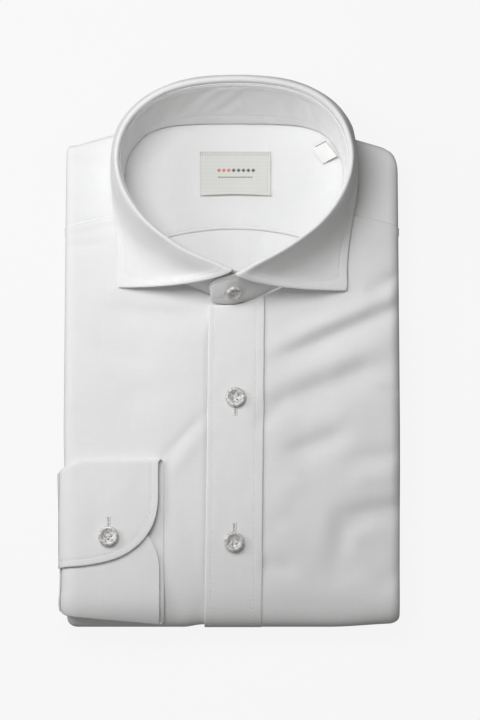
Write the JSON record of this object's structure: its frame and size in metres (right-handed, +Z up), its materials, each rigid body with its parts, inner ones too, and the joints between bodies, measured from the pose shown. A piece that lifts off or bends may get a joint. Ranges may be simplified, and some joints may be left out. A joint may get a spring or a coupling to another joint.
{
  "type": "folded dress shirt",
  "caption": "Plain white dress shirt folded flat for sale or a drawer, its cutaway collar standing open and one cuff laid on the front.",
  "frame": {"origin": "middle of the whole shirt's box, on the surface it lies on", "axes": "+Z up, +Y from the bottom fold towards the collar, +X to the right as seen from above with the collar at the far end"},
  "size_m": [0.2138, 0.3548, 0.0559],
  "materials": {
    "cotton": "plain woven cotton",
    "button_shell": "clear pearly resin",
    "woven_label": "satin woven label"
  },
  "bodies": {
    "root": {"front_button_side": "cotton", "front_buttonhole_side": "cotton", "placket": "cotton", "yoke_shoulder_left": "cotton", "yoke_shoulder_right": "cotton", "yoke_inside": "cotton", "back_panel": "cotton", "collar_stand": "cotton", "collar_leaf": "cotton", "cuff": "cotton", "sleeve": "cotton", "folded_layers": "cotton", "button_collar": "button_shell", "button_front_upper": "button_shell", "button_front_lower": "button_shell", "button_cuff": "button_shell", "neck_label": "woven_label", "size_tag": "woven_label"}
  },
  "joints": []
}
